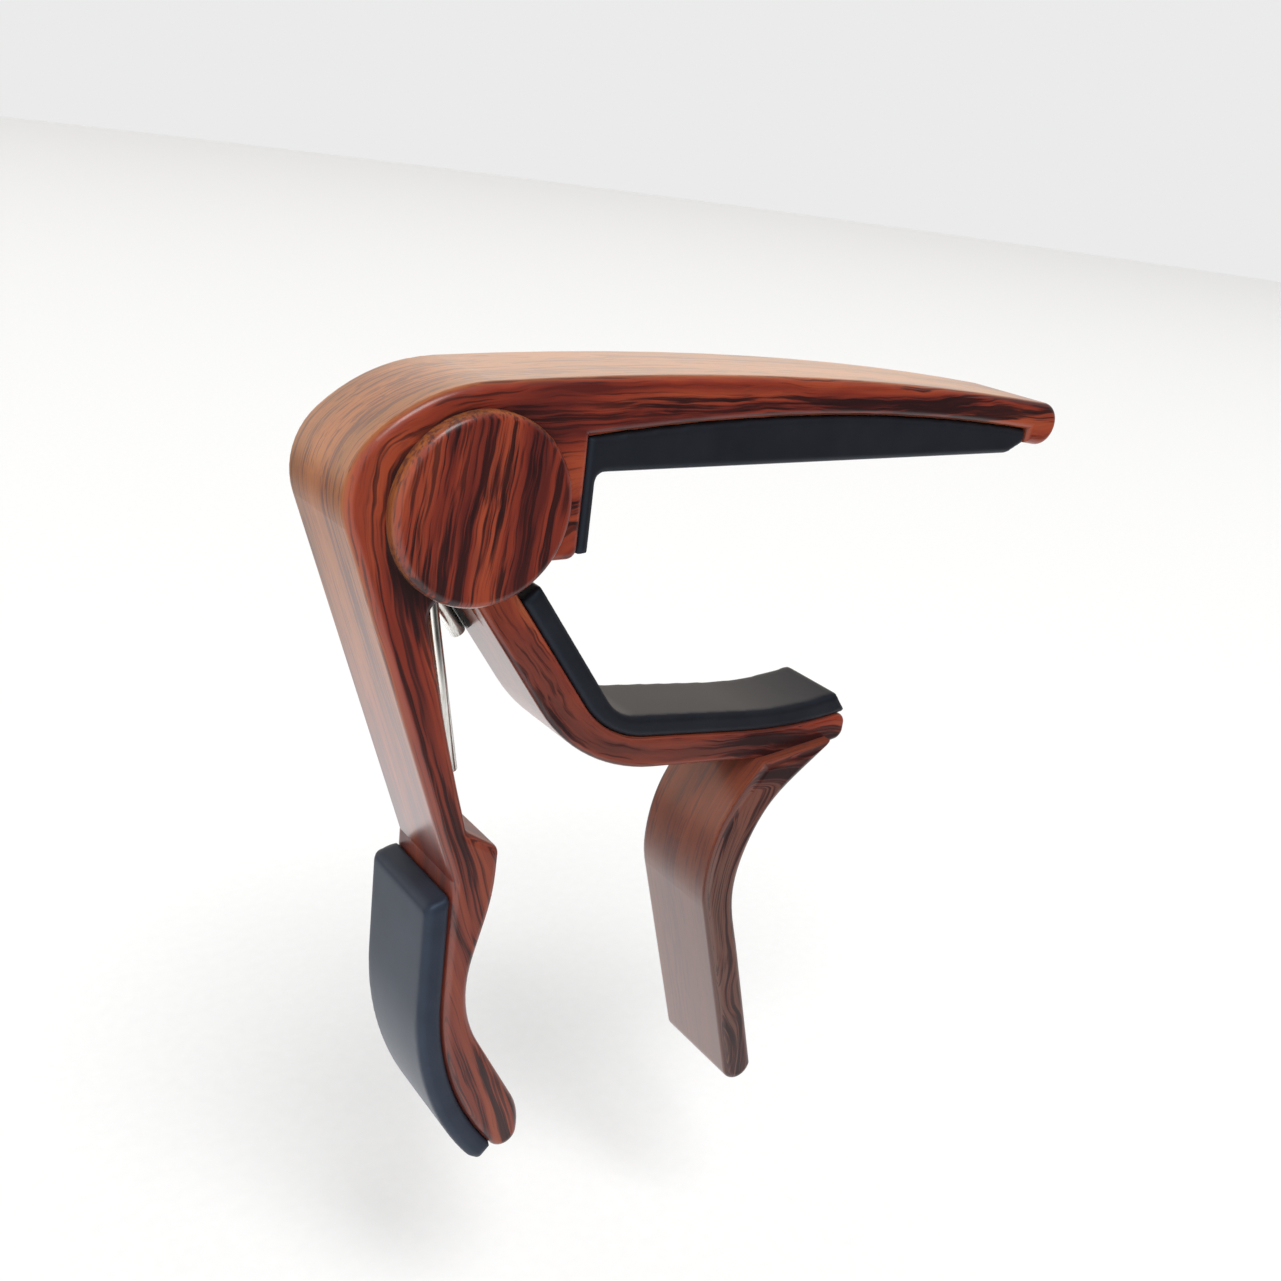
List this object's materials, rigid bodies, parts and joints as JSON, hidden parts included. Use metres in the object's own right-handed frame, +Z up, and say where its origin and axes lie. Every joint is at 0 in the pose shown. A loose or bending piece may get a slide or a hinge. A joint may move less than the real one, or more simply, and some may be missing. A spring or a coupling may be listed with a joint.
{
  "type": "guitar capo",
  "caption": "Trigger capo: padded string bar with rear handle, hinged neck arm with front trigger, round pivot caps and torsion spring, wood-grain satin finish.",
  "frame": {"origin": "middle of the string pad's flat underside, where it rests on the strings", "axes": "+X along the string bar from the pivot to its free tip, +Y across the capo along the strings, +Z up, away from the strings and the neck"},
  "size_m": [0.0814, 0.0142, 0.0802],
  "materials": {
    "woodgrain_casting": "satin wood-grain film over cast zinc alloy",
    "woodgrain_cap": "satin wood-grain film",
    "silicone": "matte",
    "spring_steel": "bright drawn wire",
    "steel": "turned, zinc plated",
    "black_nylon": "matte"
  },
  "bodies": {
    "frame_body": {"frame": "woodgrain_casting", "string_pad": "silicone", "handle_grip": "silicone", "pivot_pin": "steel", "pivot_screw": "steel", "pivot_cap_front": "woodgrain_cap", "pivot_cap_rear": "woodgrain_cap", "torsion_spring": "spring_steel"},
    "jaw_body": {"jaw": "woodgrain_casting", "neck_pad": "silicone", "spring_seat": "black_nylon", "spring_bush": "black_nylon", "thrust_washer_front": "steel", "thrust_washer_rear": "steel"}
  },
  "joints": [
    {"name": "jaw_pivot", "type": "hinge", "parent": "frame_body", "child": "jaw_body", "pos_m": [-0.0374, 0, -0.0023], "axis": [0, 1, 0], "range_deg": [-15, 18], "stiffness_Nm_per_rad": 0.67, "springref_deg": -85.94, "deforming": ["torsion_spring"]}
  ]
}
